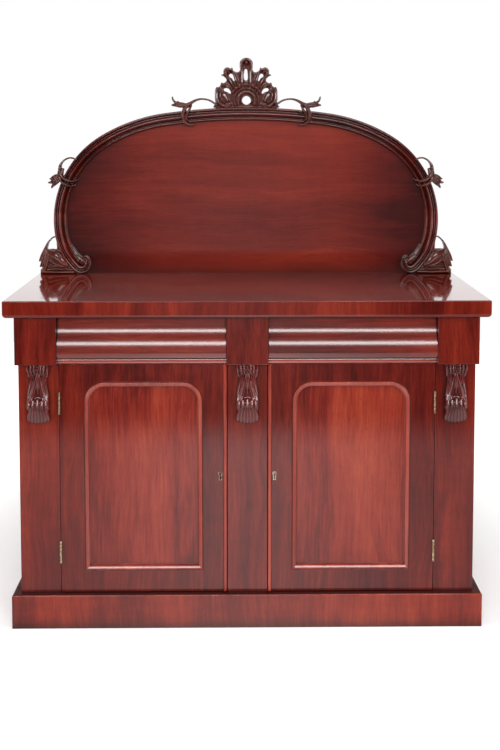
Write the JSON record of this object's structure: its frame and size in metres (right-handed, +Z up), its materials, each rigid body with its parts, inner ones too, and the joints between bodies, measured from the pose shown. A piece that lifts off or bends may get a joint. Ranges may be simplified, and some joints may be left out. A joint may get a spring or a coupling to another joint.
{
  "type": "chiffonier",
  "caption": "Chiffonier with cushion-fronted frieze drawers over arch-panelled cupboard doors, a moulded top, and an arched backboard with scroll ends and a pierced carved crest.",
  "frame": {"origin": "on the floor, under the middle of the piece's bounding box", "axes": "front faces -Y, +X to the right seen from the front, +Z up"},
  "size_m": [1.22, 0.48, 1.4798],
  "materials": {
    "mahogany": "french-polished red mahogany",
    "figured_mahogany": "french-polished figured mahogany veneer",
    "carved_mahogany": "polished carved mahogany, darkened in the hollows",
    "pine": "bare secondary wood, aged",
    "brass": "worn brass",
    "steel": "dull iron"
  },
  "bodies": {
    "carcass": {"arch_moulding": "mahogany", "back_boards": "pine", "backboard_battens": "pine", "backboard_panel": "mahogany", "backboard_screws_and_dowels": "steel", "bottom_board": "pine", "centre_pilaster": "mahogany", "corbels": "carved_mahogany", "crest": "carved_mahogany", "crest_sprays": "carved_mahogany", "drawer_divider": "pine", "drawer_rail": "mahogany", "drawer_runners": "pine", "ear_brackets": "carved_mahogany", "frame_hinge_leaves": "brass", "frame_hinge_screws": "brass", "frieze_blocks": "mahogany", "left_pilaster": "mahogany", "left_side": "mahogany", "plinth_back": "pine", "plinth_front": "mahogany", "plinth_sides": "mahogany", "right_pilaster": "mahogany", "right_side": "mahogany", "shelf": "pine", "shelf_cleats": "pine", "side_leaf_clasps": "carved_mahogany", "strike_plates": "brass", "table_top": "mahogany", "top_rails": "pine"},
    "left_door": {"left_door_closing_bead": "mahogany", "left_door_hinge_leaves": "brass", "left_door_hinge_screws": "brass", "left_door_hinge_stile": "mahogany", "left_door_lock_stile": "mahogany", "left_door_moulding": "mahogany", "left_door_panel": "figured_mahogany", "left_door_rails": "mahogany", "left_escutcheon": "brass", "left_lock_case": "steel"},
    "right_door": {"right_door_closing_bead": "mahogany", "right_door_hinge_leaves": "brass", "right_door_hinge_screws": "brass", "right_door_hinge_stile": "mahogany", "right_door_lock_stile": "mahogany", "right_door_moulding": "mahogany", "right_door_panel": "figured_mahogany", "right_door_rails": "mahogany", "right_escutcheon": "brass", "right_lock_case": "steel"},
    "left_bolt": {"left_lock_bolt": "steel"},
    "right_bolt": {"right_lock_bolt": "steel"},
    "left_drawer": {"left_drawer_back": "pine", "left_drawer_bottom": "pine", "left_drawer_front": "mahogany", "left_drawer_sides": "pine"},
    "right_drawer": {"right_drawer_back": "pine", "right_drawer_bottom": "pine", "right_drawer_front": "mahogany", "right_drawer_sides": "pine"}
  },
  "joints": [
    {"name": "left_door_hinge", "type": "hinge", "parent": "carcass", "child": "left_door", "pos_m": [-0.4774, -0.2075, 0.384], "axis": [0, 0, -1], "range_deg": [0, 136]},
    {"name": "right_door_hinge", "type": "hinge", "parent": "carcass", "child": "right_door", "pos_m": [0.4774, -0.2075, 0.384], "axis": [0, 0, 1], "range_deg": [0, 136]},
    {"name": "left_bolt_slide", "type": "slide", "parent": "left_door", "child": "left_bolt", "axis": [1, 0, 0], "range_m": [0, 0.008]},
    {"name": "right_bolt_slide", "type": "slide", "parent": "right_door", "child": "right_bolt", "axis": [-1, 0, 0], "range_m": [0, 0.008]},
    {"name": "left_drawer_slide", "type": "slide", "parent": "carcass", "child": "left_drawer", "axis": [0, -1, 0], "range_m": [0, 0.28]},
    {"name": "right_drawer_slide", "type": "slide", "parent": "carcass", "child": "right_drawer", "axis": [0, -1, 0], "range_m": [0, 0.28]}
  ]
}
